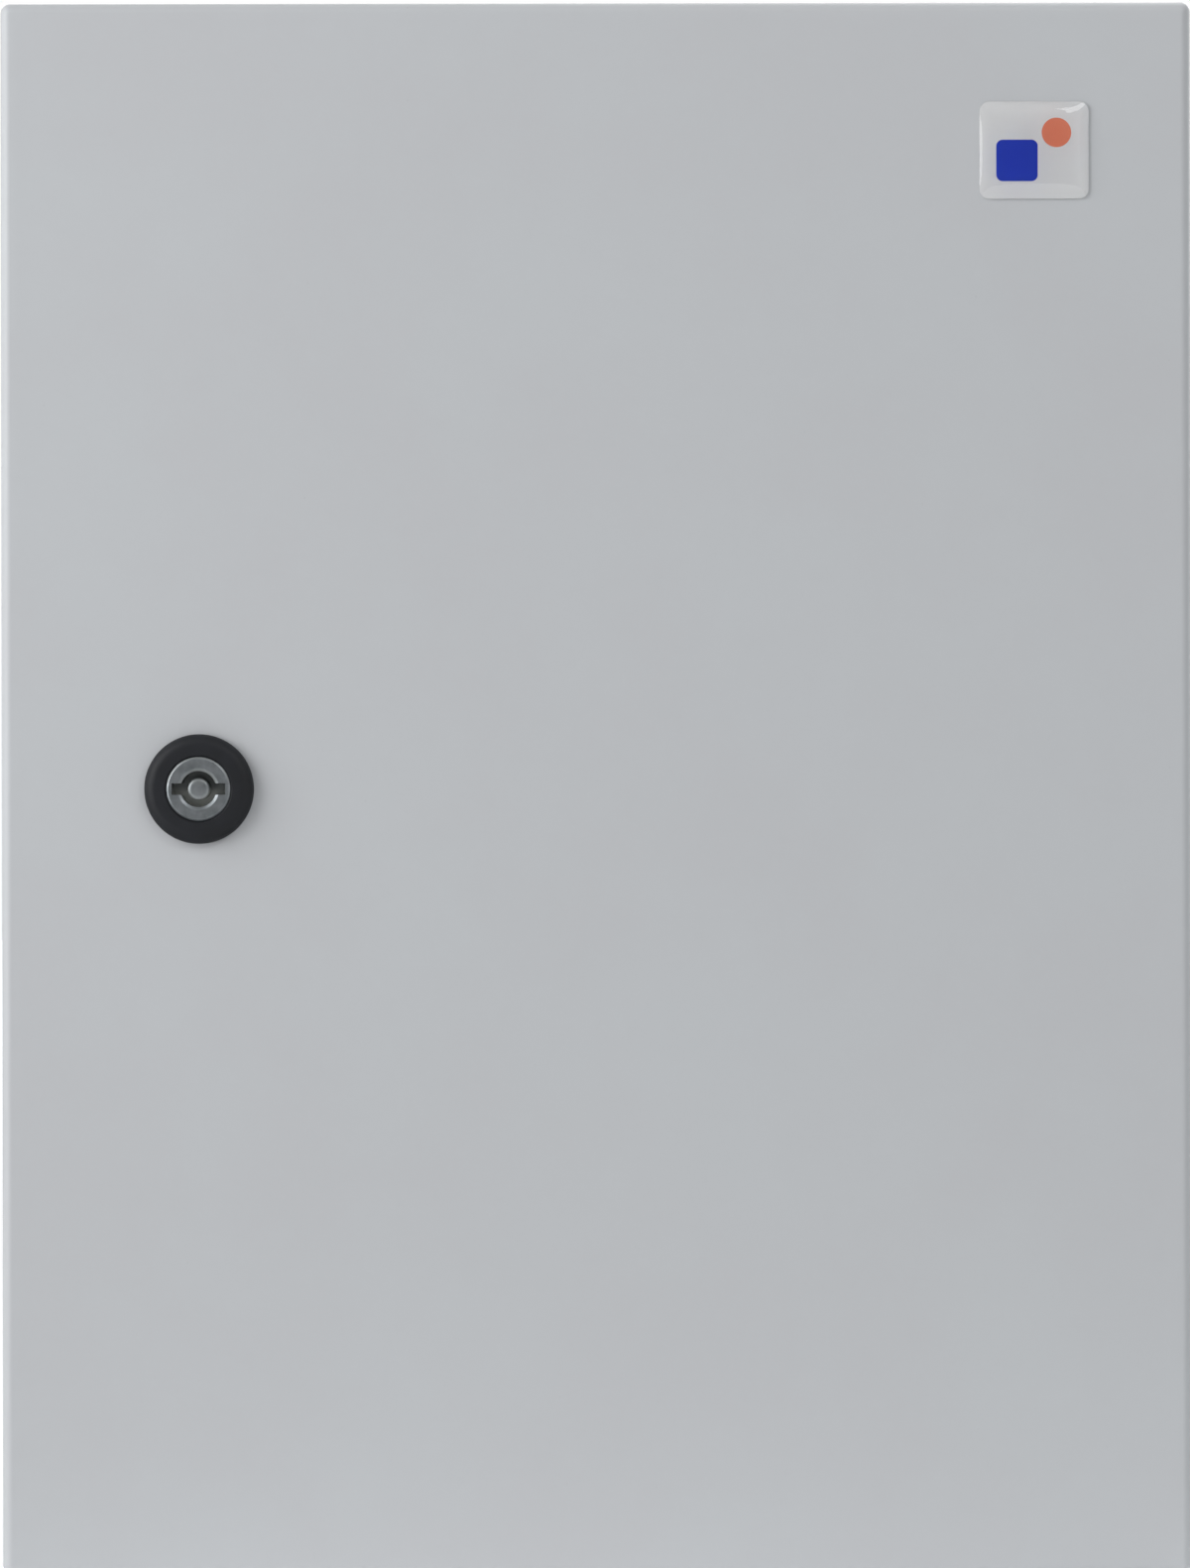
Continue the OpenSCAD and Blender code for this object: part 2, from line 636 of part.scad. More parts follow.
module badge_label() color("white") at_badge() along_y(face_y - label_t, face_y)
  rounded_square(badge_w, badge_h, badge_corner);

module badge_dome() color([0.8, 0.82, 0.84]) at_badge() intersection() {
  soft_block(badge_w, badge_h, face_y - badge_t, face_y + far, badge_edge);
  along_y(face_y - badge_t - 1, face_y - label_t) rounded_square(badge_w, badge_h, badge_corner);
}

// ---- Lock: built along its axis, from the front of the door into the enclosure ----

// A wedge from the axis between two angles
module sector(from, to, r) polygon([[0, 0], for (k = [0:8])
  let (a = from + (to - from)*k/8) r*[cos(a), sin(a)]]);

// The bezel's section: a straight rim on the door, then a rounded shoulder
module bezel_profile() intersection() {
  union() {
    translate([0, -bezel_h]) square([bezel_r - bezel_round, bezel_h]);
    translate([0, -bezel_rim]) square([bezel_r, bezel_rim]);
    translate([bezel_r - bezel_round, -bezel_rim]) circle(r = bezel_round);
  }
  translate([0, -bezel_h]) square([bezel_r, bezel_h]);
}

module lock_housing() color(black) at_lock() difference() {
  union() {
    rotate_extrude() bezel_profile();
    linear_extrude(barrel_len) barrel_outline(0);
    // collar that stops the disc's arm after a quarter turn
    difference() {
      linear_extrude(cam_front - collar_short) barrel_outline(0);
      translate([0, 0, barrel_len]) cylinder(r = rotor_r + stop_clear, h = far);
      translate([0, 0, barrel_len]) linear_extrude(far)
        sector(stop_rest - stop_arm/2 - stop_slack,
               stop_rest + lock_angle + stop_arm/2 + stop_slack, 2*barrel_r);
    }
  }
  translate([0, 0, -bezel_h - 1]) cylinder(r = rotor_r + rotor_clear, h = bezel_h + 1 + rotor_step);
  cylinder(r = neck_r + rotor_clear, h = 2*cam_front);
  // chamfer round the insert, and the groove for the seal
  translate([0, 0, -bezel_h]) cylinder(r1 = rotor_r + rotor_edge, r2 = rotor_r, h = rotor_edge);
  translate([0, 0, -lock_seal_t]) lock_groove(0, 2*lock_seal_t);
}

module lock_groove(clear, h) ring(bezel_r - lock_seal_out - clear, barrel_r + lock_seal_in + clear, h);

module lock_seal() color(foam) at_lock() translate([0, 0, -lock_seal_t])
  lock_groove(lock_seal_clear, lock_seal_t);

module lock_nut() color(zinc) at_lock() translate([0, 0, sheet_t])
  nut(lock_nut_af, lock_nut_h, barrel_r);

module socket() {
  cylinder(d = socket_d, h = socket_depth + 1);
  translate([-slot_span/2, -slot_w/2, 0]) cube([slot_span, slot_w, socket_depth + 1]);
}

module key_pin() {
  cylinder(d1 = key_pin_d - 2*key_pin_edge[0], d2 = key_pin_d, h = key_pin_edge[1]);
  translate([0, 0, key_pin_edge[1]]) cylinder(d = key_pin_d, h = socket_depth);
}

// The insert: a socket with a pin and two slots for the key, a neck, and a square for the cam
module lock_rotor() color(die_cast) at_lock() difference() {
  union() {
    translate([0, 0, rotor_face]) cylinder(r1 = rotor_r - rotor_edge, r2 = rotor_r, h = rotor_edge);
    translate([0, 0, rotor_face + rotor_edge])
      cylinder(r = rotor_r, h = rotor_step - 2*rotor_clear - rotor_face - rotor_edge);
    cylinder(r = neck_r, h = barrel_len);
    translate([-square_w/2, -square_w/2, 0]) cube([square_w, square_w, cam_front + cam_t - square_short]);
  }
  translate([0, 0, rotor_face]) {
    difference() {
      translate([0, 0, -1]) socket();
      translate([0, 0, pin_sink]) key_pin();
    }
    cylinder(d1 = socket_d + 2*socket_edge[0], d2 = socket_d, h = socket_edge[1]);
    translate([0, 0, socket_depth + ring_behind - ring_r])
      ring(rotor_r + 1, rotor_r + rotor_clear - 2*ring_r, 2*ring_r);
  }
  translate([0, 0, cam_front + cam_t + washer_t - cam_screw_len - cam_screw_spare])
    cylinder(r = cam_screw_r + thread_clear, h = far);
}

module rotor_ring() color(foam) at_lock()
  translate([0, 0, rotor_face + socket_depth + ring_behind])
    rotate_extrude() translate([rotor_r + rotor_clear - ring_r, 0])
      circle(r = ring_r - ring_squash, $fn = 24);

module stop_disc() color(zinc) at_lock() translate([0, 0, barrel_len + disc_clear])
  linear_extrude(disc_t) difference() {
    union() {
      circle(r = rotor_r);
      intersection() {
        circle(d = barrel_flats - stop_clear);
        sector(stop_rest - stop_arm/2, stop_rest + stop_arm/2, 2*barrel_r);
      }
    }
    square(square_w + 2*square_clear, center = true);
  }

// The cam hangs straight down when unlocked, and turns clockwise to catch behind the gutter floor
module lock_cam() color(zinc) at_lock() translate([0, 0, cam_front]) difference() {
  linear_extrude(cam_t) difference() {
    union() {
      circle(d = cam_w);
      translate([0, cam_len/2]) rounded_square(cam_tip_w, cam_len, cam_tip_r);
    }
    square(square_w + 2*square_clear, center = true);
  }
  // lead-ins along both edges, which draw the door in as the tip slides behind the gutter
  for (m = [0, 1]) mirror([m, 0, 0])
    translate([cam_tip_w/2, cam_len + 1, 0]) rotate([90, 0, 0]) linear_extrude(cam_tip_len)
      polygon([[-ramp_w - ramp_w/ramp_h, -1], [1, -1], [1, ramp_h + ramp_h/ramp_w]]);
}

module cam_washer() color(zinc) at_lock() translate([0, 0, cam_front + cam_t])
  ring(cam_washer_r, cam_screw_r + hole_clear, washer_t);

module cam_screw() color(zinc) at_lock() translate([0, 0, cam_front + cam_t + washer_t]) {
  hexagon(cam_screw_af, cam_screw_head);
  translate([0, 0, -cam_screw_len]) cylinder(r = cam_screw_r, h = cam_screw_len + 1);
}

// ---- Assembly ----
enclosure_body();
mounting_plate();
plate_studs();
plate_spacers();
plate_washers();
plate_nuts();
gland_plate();
gland_gasket();
gland_studs();
gland_washers();
gland_nuts();
body_earth_stud();
body_earth_washers();
body_earth_nut();
hinge_bracket(1);  // hinge_bracket_upper
hinge_bracket(-1);  // hinge_bracket_lower
hinge_pin(1);  // hinge_pin_upper
hinge_pin(-1);  // hinge_pin_lower
hinge_pin_clips();
hinge_screws();
hinge_weld_nuts();
door_panel();
door_seal();
hinge_leaf(1);  // hinge_leaf_upper
hinge_leaf(-1);  // hinge_leaf_lower
door_earth_stud();
door_earth_washers();
door_earth_nut();
badge_label();
badge_dome();
lock_housing();
lock_seal();
lock_nut();
lock_rotor();
rotor_ring();
stop_disc();
lock_cam();
cam_washer();
cam_screw();
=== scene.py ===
import math

import bmesh
import bpy
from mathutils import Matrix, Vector, noise


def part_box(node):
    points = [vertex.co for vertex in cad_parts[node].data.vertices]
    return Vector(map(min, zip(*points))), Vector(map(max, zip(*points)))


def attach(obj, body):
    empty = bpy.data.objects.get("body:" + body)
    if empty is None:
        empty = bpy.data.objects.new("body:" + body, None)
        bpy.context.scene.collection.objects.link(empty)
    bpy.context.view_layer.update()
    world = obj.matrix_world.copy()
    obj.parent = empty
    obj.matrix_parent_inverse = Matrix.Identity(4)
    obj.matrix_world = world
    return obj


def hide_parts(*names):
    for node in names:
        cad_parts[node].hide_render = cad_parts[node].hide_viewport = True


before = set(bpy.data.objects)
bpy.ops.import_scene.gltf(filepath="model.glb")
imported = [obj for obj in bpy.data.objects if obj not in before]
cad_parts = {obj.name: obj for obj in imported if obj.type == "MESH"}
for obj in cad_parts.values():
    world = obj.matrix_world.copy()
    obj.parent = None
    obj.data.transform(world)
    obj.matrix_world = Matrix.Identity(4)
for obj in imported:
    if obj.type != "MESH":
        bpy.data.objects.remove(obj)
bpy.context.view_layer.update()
mm = 0.001


# ---- Enclosure body ----
# One folded shell of 1.5 mm sheet steel with a rain gutter and a lip round its opening.
# The folds are welded at the corners, dressed, and the whole is powder coated light grey
# inside and out.

class Varying:
    """A value, colour or direction that changes over a surface. Sums on values add Math nodes."""

    def __init__(self, finish, socket):
        self.finish = finish
        self.socket = socket

    def math(self, operation, a, b):
        return self.finish.node("ShaderNodeMath", {"operation": operation}, {0: a, 1: b})

    def __add__(self, other):
        return self.math("ADD", self, other)

    def __radd__(self, other):
        return self.math("ADD", other, self)

    def __sub__(self, other):
        return self.math("SUBTRACT", self, other)

    def __rsub__(self, other):
        return self.math("SUBTRACT", other, self)

    def __mul__(self, other):
        return self.math("MULTIPLY", self, other)

    def __rmul__(self, other):
        return self.math("MULTIPLY", other, self)

    def between(self, low, high):
        """0 below low and 1 above high, with a soft step from one to the other."""
        return self.finish.node("ShaderNodeMapRange", {"interpolation_type": "SMOOTHSTEP"},
                                {"Value": self, "From Min": low, "From Max": high})


class Finish:
    """One surface finish: a material, and the nodes that vary it from place to place."""

    def __init__(self, name, owner=None):
        self.material = owner or bpy.data.materials.new(name)
        self.material.use_nodes = True
        self.nodes = self.material.node_tree.nodes
        self.nodes.clear()
        self.links = self.material.node_tree.links
        self.place = self.node("ShaderNodeTexCoord", out="Object")

    def node(self, kind, settings=None, inputs=None, out=0):
        made = self.nodes.new(kind)
        for name, value in (settings or {}).items():
            setattr(made, name, value)
        for key, value in (inputs or {}).items():
            if isinstance(value, Varying):
                self.links.new(value.socket, made.inputs[key])
            else:
                made.inputs[key].default_value = value
        return Varying(self, made.outputs[out]) if made.outputs else None

    def mix(self, share, first, second):
        """The first colour where share is 0, and the second where it is 1."""
        return self.node("ShaderNodeMix", {"data_type": "RGBA"}, {0: share, 6: first, 7: second}, out=2)

    def grain(self, size, detail=2.0, place=None):
        """Cloudy noise from about 0.3 to 0.7, whose patches are about size metres across."""
        return self.node("ShaderNodeTexNoise", None,
                         {"Vector": place or self.place, "Scale": 1/size, "Detail": detail})

    def stretched(self, x, y, z):
        """The place on the surface, stretched along each axis by these factors."""
        return self.node("ShaderNodeVectorMath", {"operation": "MULTIPLY"}, {0: self.place, 1: (x, y, z)})

    def bump(self, height, distance, strength=1.0):
        return self.node("ShaderNodeBump", None,
                         {"Height": height, "Distance": distance, "Strength": strength})

    def surface(self, sockets):
        shader = self.node("ShaderNodeBsdfPrincipled", None, sockets)
        self.node("ShaderNodeOutputMaterial", None, {"Surface": shader})
        return self

    def seen(self):
        """1 where the lens looks, straight or by way of gloss or clear resin, and 0 elsewhere."""
        straight, gloss, through = (self.node("ShaderNodeLightPath", out=ray) for ray in (
            "Is Camera Ray", "Is Glossy Ray", "Is Transmission Ray"))
        return straight.math("MAXIMUM", straight, straight.math("MAXIMUM", gloss, through))


def colour(red, green, blue):
    """A colour that is written in the 0 to 255 steps of a paint card."""
    return tuple(((c/255 + 0.055)/1.055)**2.4 if c > 10 else c/3295 for c in (red, green, blue)) + (1.0,)


def powder_coat(name, light, dark):
    """Baked polyester powder: a fine orange peel, faint clouds, and the odd speck in the film."""
    coat = Finish(name)
    peel = coat.grain(1.1*mm, 2.5)
    swell = coat.grain(6*mm, 1.0)
    cloud = coat.grain(45*mm, 4.0)
    speck = coat.grain(0.9*mm, 0.0).between(0.86, 0.90)
    tone = coat.mix(cloud.between(0.3, 0.7), light, dark)
    tone = coat.mix(speck*0.2, tone, colour(158, 158, 157))
    return coat.surface({
        "Base Color": tone,
        "Roughness": 0.42 + cloud*0.03 + peel*0.04,
        "Normal": coat.bump(peel + swell*0.6, 0.012*mm),
        "Specular IOR Level": 0.5,
    })


def dress(finish, *nodes):
    """Gives solids of the frame their finish."""
    for node in nodes:
        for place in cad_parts[node].material_slots:
            place.material = finish.material


def tube(shape, rings, closed=False):
    """Skins a list of rings of points. A closed tube joins its last ring to its first."""
    rows = [[shape.verts.new(point) for point in ring] for ring in rings]
    count = len(rows[0])
    pairs = list(zip(rows, rows[1:])) + ([(rows[-1], rows[0])] if closed else [])
    for lower, upper in pairs:
        for k in range(count):
            shape.faces.new((lower[k], lower[(k + 1) % count], upper[(k + 1) % count], upper[k]))
    if not closed:
        shape.faces.new(rows[0])
        shape.faces.new(rows[-1])


def set_down(name, shape, finish):
    """Turns a shape into an object of the scene, in one finish."""
    mesh = bpy.data.meshes.new(name)
    shape.to_mesh(mesh)
    shape.free()
    mesh.materials.append(finish.material)
    made = bpy.data.objects.new(name, mesh)
    bpy.context.scene.collection.objects.link(made)
    return made


def finish_piece(name, shape, finish, body, stands_for=(), sharp=35):
    """Makes a piece of a shape, smooth except at its sharp edges, and hangs it on its body."""
    bmesh.ops.recalc_face_normals(shape, faces=shape.faces)
    for face in shape.faces:
        face.smooth = True
    for edge in shape.edges:
        edge.smooth = not edge.is_manifold or edge.calc_face_angle() < math.radians(sharp)
    piece = set_down(name, shape, finish)
    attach(piece, body)
    if stands_for:
        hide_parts(*stands_for)
    return piece


def weld_bead(shape, start, end, radius, ripple, row=0.25*mm, sides=12):
    """A short run of weld, thin at its ends, whose ripples are the stops of the torch."""
    run = end - start
    across = run.orthogonal().normalized()
    beside = run.normalized().cross(across)
    count = round(run.length/row)
    rings = []
    for k in range(count + 1):
        along = k/count
        swell = math.sin(math.pi*min(1.0, 6*min(along, 1 - along) + 0.25)/2)
        r = radius*(swell + 0.08*math.sin(2*math.pi*along*run.length/ripple))
        angles = [2*math.pi*j/sides for j in range(sides)]
        rings.append([start + run*along + (across*math.cos(a) + beside*math.sin(a))*r for a in angles])
    tube(shape, rings)


body_low, body_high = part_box("enclosure_body")
grey_coat = powder_coat("painted_steel", colour(190, 193, 196), colour(189, 191, 194))
dress(grey_coat, "enclosure_body")
gutter = 15*mm                                   # from the body's side to the upstand of its rim
upstand_back, upstand_front = -178*mm, -188.5*mm
bead_sunk, bead_radius, bead_ripple = 0.45*mm, 0.8*mm, 1.3*mm
weld_x, weld_z = (side - gutter - bead_sunk for side in (body_high.x, body_high.z))
corner_welds = bmesh.new()
for x in (-weld_x, weld_x):
    for z in (-weld_z, weld_z):
        weld_bead(corner_welds, Vector((x, upstand_back, z)), Vector((x, upstand_front, z)),
                  bead_radius, bead_ripple)
finish_piece("rim_corner_welds", corner_welds, grey_coat, "cabinet")


# ---- Mounting plate ----
# Hot-dip galvanised sheet, sheared to size, with its corners cut off. The zinc has frozen into
# crystals a centimetre across.

def zinc_spangle(name):
    crystals_a_metre, bends_a_metre, bend = 90.0, 160.0, 4*mm
    sheet_zinc = Finish(name)
    ragged = sheet_zinc.node("ShaderNodeTexNoise", None, {
        "Vector": sheet_zinc.place, "Scale": bends_a_metre, "Detail": 3.0}, out="Color")
    warped = sheet_zinc.node("ShaderNodeVectorMath", {"operation": "MULTIPLY_ADD"}, {
        0: ragged, 1: (bend, bend, bend), 2: sheet_zinc.place})
    cell = sheet_zinc.node("ShaderNodeTexVoronoi", None, {
        "Vector": warped, "Scale": crystals_a_metre}, out="Color")
    shade = sheet_zinc.node("ShaderNodeSeparateColor", None, {"Color": cell})
    feather = sheet_zinc.grain(1.4*mm, 4.0)
    roll = sheet_zinc.grain(9*mm, 3.0, sheet_zinc.stretched(1.0, 1.0, 0.08))
    tone = sheet_zinc.mix(shade*0.7 + feather*0.3, colour(182, 187, 190), colour(204, 208, 210))
    return sheet_zinc.surface({
        "Base Color": tone,
        "Metallic": 1.0,
        "Roughness": 0.33 + shade*0.10 + roll*0.08,
        "Normal": sheet_zinc.bump(shade*0.5 + feather*0.5, 0.02*mm),
    })


spangled_zinc = zinc_spangle("galvanised_sheet")
dress(spangled_zinc, "mounting_plate")


# ---- Nuts, washers, spacers and hinge parts ----
# Small steel parts, barrel plated with bright zinc: slightly cloudy, with a faint blue and
# yellow cast from the passivation and fine rubs from tumbling.

def bright_zinc(name, cloudiness):
    plating = Finish(name)
    haze = plating.grain(2.2*mm, 4.0)
    cast = plating.grain(5*mm, 2.0)
    rub = plating.grain(0.35*mm, 2.0, plating.stretched(1.0, 0.25, 1.6))
    tone = plating.mix(cast.between(0.35, 0.65), colour(192, 198, 206), colour(208, 205, 196))
    tone = plating.mix(haze.between(0.5, 0.75)*cloudiness, tone, colour(158, 162, 166))
    return plating.surface({
        "Base Color": tone,
        "Metallic": 1.0,
        "Roughness": 0.22 + haze*0.16 + rub*0.08,
        "Normal": plating.bump(rub + haze*0.5, 0.008*mm),
    })


zinc = bright_zinc("zinc_plate", 0.5)
dress(zinc, "plate_spacers", "plate_washers", "plate_nuts", "gland_washers", "gland_nuts",
      "body_earth_washers", "body_earth_nut", "door_earth_washers", "door_earth_nut",
      "hinge_bracket_upper", "hinge_bracket_lower", "hinge_leaf_upper", "hinge_leaf_lower",
      "hinge_pin_upper", "hinge_pin_lower", "hinge_pin_clips", "hinge_screws", "hinge_weld_nuts",
      "lock_nut", "stop_disc", "lock_cam", "cam_washer", "cam_screw")


# ---- Weld studs ----
# Threaded studs shot onto the sheet: zinc plated ones carry the mounting plate and the gland
# plate, and copper-flashed ones take the earth wires. Each has a rolled thread and a chamfered tip.

def thread_depth(turn, pitch):
    """How deep a rolled thread is cut at a share of a turn: 0 on the crest, full in the root."""
    deepest, crest, flank = 0.6*pitch, 0.12, 0.70
    wave = abs(2*(turn % 1.0) - 1)
    return deepest*min(max((wave - crest)/flank, 0.0), 1.0)


def stud(shape, foot, along, radius, pitch, length, tip=0.8*mm, sides=28, rows_a_turn=8):
    """A threaded stud that stands on foot and points along."""
    along = Vector(along)
    across = along.orthogonal().normalized()
    beside = along.cross(across)
    step = pitch/rows_a_turn
    heights = [k*step for k in range(int(length/step))] + [length]
    rings = []
    for height in heights:
        ring = []
        for k in range(sides):
            angle = 2*math.pi*k/sides
            r = radius - thread_depth(height/pitch - k/sides, pitch)
            r = min(r, radius - max(0.0, tip - (length - height)))
            ring.append(foot + along*height + (across*math.cos(angle) + beside*math.sin(angle))*r)
        rings.append(ring)
    tube(shape, rings)


def copper_flash(name):
    copper = Finish(name)
    stain = copper.grain(3*mm, 4.0)
    fleck = copper.grain(0.5*mm, 2.0)
    tone = copper.mix(stain.between(0.45, 0.7)*0.6, colour(214, 150, 112), colour(150, 96, 70))
    return copper.surface({
        "Base Color": tone,
        "Metallic": 1.0,
        "Roughness": 0.26 + stain*0.24 + fleck*0.05,
        "Normal": copper.bump(fleck, 0.006*mm),
    })


def stand_studs(name, node, centres, along, size, pitch, finish, body):
    """Studs of one size on these centres, as long as the solid ones that they stand for."""
    low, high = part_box(node)
    direction = Vector(along)
    span = high - low
    start = Vector((low[k] if direction[k] > 0 else high[k]) for k in range(3))
    shape = bmesh.new()
    for centre in centres:
        foot = Vector(start[k] if direction[k] else centre[k] for k in range(3))
        stud(shape, foot, direction, size/2, pitch, abs(span.dot(direction)))
    finish_piece(name, shape, finish, body, [node])


m8, m6, m5 = 8*mm, 6*mm, 5*mm
flash = copper_flash("copper_stud")
low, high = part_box("plate_studs")
stand_studs("plate_threads", "plate_studs",
            [(x, 0, z) for x in (low.x + m8/2, high.x - m8/2) for z in (low.z + m8/2, high.z - m8/2)],
            (0, -1, 0), m8, 1.25*mm, zinc, "cabinet")
low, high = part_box("gland_studs")
stand_studs("gland_threads", "gland_studs",
            [(x, y, 0) for x in (low.x + m5/2, 0, high.x - m5/2) for y in (low.y + m5/2, high.y - m5/2)],
            (0, 0, 1), m5, 0.8*mm, zinc, "cabinet")
for name, node, along, size, pitch, body in (
        ("body_earth_thread", "body_earth_stud", (0, -1, 0), m8, 1.25*mm, "cabinet"),
        ("door_earth_thread", "door_earth_stud", (0, 1, 0), m6, 1.0*mm, "door")):
    low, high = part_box(node)
    stand_studs(name, node, [(low + high)/2], along, size, pitch, flash, body)


# ---- Gland plate and its gasket ----
# A flat plate in the same grey powder, which closes the cable opening in the floor from inside.
# The nuts on its studs press it down onto a die-cut frame of closed-cell rubber.

def shaded(tone, share):
    """A tone made lighter or darker by one factor."""
    return tuple(share*c for c in tone[:3]) + (1.0,)


def cell_rubber(name, tone, cells):
    rubber = Finish(name)
    pore = rubber.node("ShaderNodeTexVoronoi", None, {"Vector": rubber.place, "Scale": 1/cells})
    skin = rubber.grain(4*mm, 3.0)
    return rubber.surface({
        "Base Color": rubber.mix(skin.between(0.35, 0.7), tone, shaded(tone, 1.5)),
        "Roughness": 0.70 + skin*0.2,
        "Normal": rubber.bump(pore.between(0.0, 0.5) + skin*0.6, 0.05*mm, 0.6),
    })


dress(grey_coat, "gland_plate")
foam_rubber = cell_rubber("seal_foam", colour(46, 47, 49), 0.7*mm)
dress(foam_rubber, "gland_gasket")


# ---- Door panel ----
# One sheet of the same steel with its four edges folded back, punched for the lock, and coated
# with the body. The folds cover the body's gutter when it is shut.

door_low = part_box("door_panel")[0]
dress(grey_coat, "door_panel")


# ---- Door seal ----
# Polyurethane foam, poured as a bead onto the inside of the door. It has a smooth skin, wanders
# a little, and laps over itself where the pour starts and ends.

seal_low, seal_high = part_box("door_seal")
seal_width, seal_bend = 12*mm, 14*mm
seal_x, seal_z = seal_high.x - seal_width/2, seal_high.z - seal_width/2
quarters = ((1, 1, 0), (-1, 1, 90), (-1, -1, 180), (1, -1, 270))  # each corner's sides and first angle


def bead_section(width, height, waist=1.7*mm, foot=2.85*mm, steps=16):
    """A squarish arch that is widest at its waist and drawn in below it, down to the sheet."""
    squareness = 2.5
    start = -math.asin((waist/foot)**(squareness/2))
    points = []
    for k in range(steps + 1):
        angle = math.pi - start - (math.pi - 2*start)*k/steps
        across, up = math.cos(angle), math.sin(angle)
        rise = (height - waist if up > 0 else foot)*abs(up)**(2/squareness)
        points.append((math.copysign(width/2*abs(across)**(2/squareness), across),
                       waist + math.copysign(rise, up)))
    return points


def rounded_path(half_x, half_z, bend, step, bend_steps=12):
    """Points and outward directions along a rectangle with round corners, from its upper right one."""
    path = []
    for sx, sz, start in quarters:
        for k in range(bend_steps + 1):
            angle = math.radians(start + 90*k/bend_steps)
            out = Vector((math.cos(angle), 0, math.sin(angle)))
            path.append((Vector((sx*(half_x - bend), 0, sz*(half_z - bend))) + out*bend, out))
    filled = []
    for (a, out_a), (b, out_b) in zip(path, path[1:] + path[:1]):
        parts = max(1, round((b - a).length/step))
        filled += [(a.lerp(b, k/parts), out_a.lerp(out_b, k/parts).normalized()) for k in range(parts)]
    return filled


def pour_seal(step=4*mm, wander=0.16*mm, lap_reach=9*mm, tallest=1.03):
    """The bead swells and thins as the nozzle moves, and is fuller where its two ends lap."""
    rings = []
    lap = Vector((0, 0, -seal_z))
    section = bead_section(seal_width, seal_high.y - seal_low.y)
    for point, out in rounded_path(seal_x, seal_z, seal_bend, step):
        wave = noise.noise(point*22) + 0.4*noise.noise(point*90)
        drift = wander*noise.noise(point*14 + Vector((3, 1, 7)))
        near = max(0.0, 1 - (point - lap).length/lap_reach)
        tall = min(0.965 + 0.025*wave + 0.05*near*near, tallest)
        wide = 0.985 + 0.012*wave + 0.015*near
        rings.append([point + out*(u*wide + drift) + Vector((0, seal_low.y + v*tall, 0))
                      for u, v in section])
    shape = bmesh.new()
    tube(shape, rings, closed=True)
    return shape


foam_bead = finish_piece("door_gasket", pour_seal(), foam_rubber, "door", ["door_seal"], 60)


# ---- Badge ----
# A silver-white printed label on the door, under a lens of clear resin that was poured on and
# crept to its rounded edge.

badge_low, badge_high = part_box("badge_dome")
label_front = badge_high.y
badge_centre = Vector(((badge_low.x + badge_high.x)/2, 0, (badge_low.z + badge_high.z)/2))
badge_width, badge_height = badge_high.x - badge_low.x, badge_high.z - badge_low.z
badge_bend = 2.5*mm


def outline(width, height, bend, y, steps=10, spans=1):
    """A rectangle with round corners, as a ring of points in the badge's plane."""
    ring = []
    for sx, sz, start in quarters:
        angles = [math.radians(start + 90*k/steps) for k in range(steps + 1)]
        corner = [badge_centre + Vector((sx*(width/2 - bend) + bend*math.cos(angle), y,
                                         sz*(height/2 - bend) + bend*math.sin(angle)))
                  for angle in angles]
        if ring:
            ring += [ring[-1].lerp(corner[0], k/spans) for k in range(1, spans)]
        ring += corner
    return ring + [ring[-1].lerp(ring[0], k/spans) for k in range(1, spans)]


def resin_rise(reach, half, shoulder=2.3*mm):
    """Share of the lens's height at a distance from its middle, across one of its widths."""
    return (1 - math.exp((reach - half)/shoulder))/(1 - math.exp(-half/shoulder))


def lens_ring(inset, bend, y):
    """The lens's outline, drawn in by an inset and followed by ten steps a side."""
    return outline(badge_width - 2*inset, badge_height - 2*inset, bend, y, spans=10)


def resin_lens(lip=0.2*mm, count=30):
    """Leans in from the edge where the resin stopped, and is nearly flat over the middle."""
    top = label_front - badge_low.y
    inmost = badge_height/2 - 0.4*mm
    foot = ((0.06*mm, 0.1*mm), (0.02*mm, 0.0), (0.0, -0.02*mm))  # drawn in a hair behind its widest line
    rings = [lens_ring(inset, badge_bend, label_front + sunk) for inset, sunk in foot]
    for k in range(count + 1):
        inset = inmost*(k/count)**1.6
        bend = min(badge_bend + 0.4*inset, badge_height/2 - inset - 0.05*mm)
        ring = lens_ring(inset, bend, label_front - lip)
        for point in ring:
            share = (resin_rise(abs(point.x - badge_centre.x), badge_width/2)
                     * resin_rise(abs(point.z - badge_centre.z), badge_height/2))
            point.y -= (top - lip)*share
        rings.append(ring)
    shape = bmesh.new()
    tube(shape, rings)
    return shape


def ink_field(x, z, side, bend, thick=0.02*mm, soaked=0.01*mm):
    """A square patch of ink with round corners, soaked a little way into the film."""
    shape = bmesh.new()
    move = Vector((x, 0, z))
    tube(shape, [[p + move for p in outline(side, side, bend, y, 16)]
                 for y in (label_front + soaked, label_front - thick)])
    return shape


def label_film(name, tone, edge_tone):
    film = Finish(name)
    fleck = film.grain(0.25*mm, 2.0)
    tilt = film.grain(30*mm, 1.0)
    return film.surface({
        "Base Color": film.mix(fleck.between(0.3, 0.7)*0.5 + tilt.between(0.3, 0.7)*0.5, tone, edge_tone),
        "Roughness": 0.5 + fleck*0.1,
        "Specular IOR Level": 0.0,
    })


def screen_ink(name, tone):
    ink = Finish(name)
    mesh_mark = ink.grain(0.12*mm, 1.0)
    return ink.surface({
        "Base Color": ink.mix(mesh_mark*0.1, tone, shaded(tone, 0.7)),
        "Roughness": 0.5 + mesh_mark*0.1,
        "Specular IOR Level": 0.0,
    })


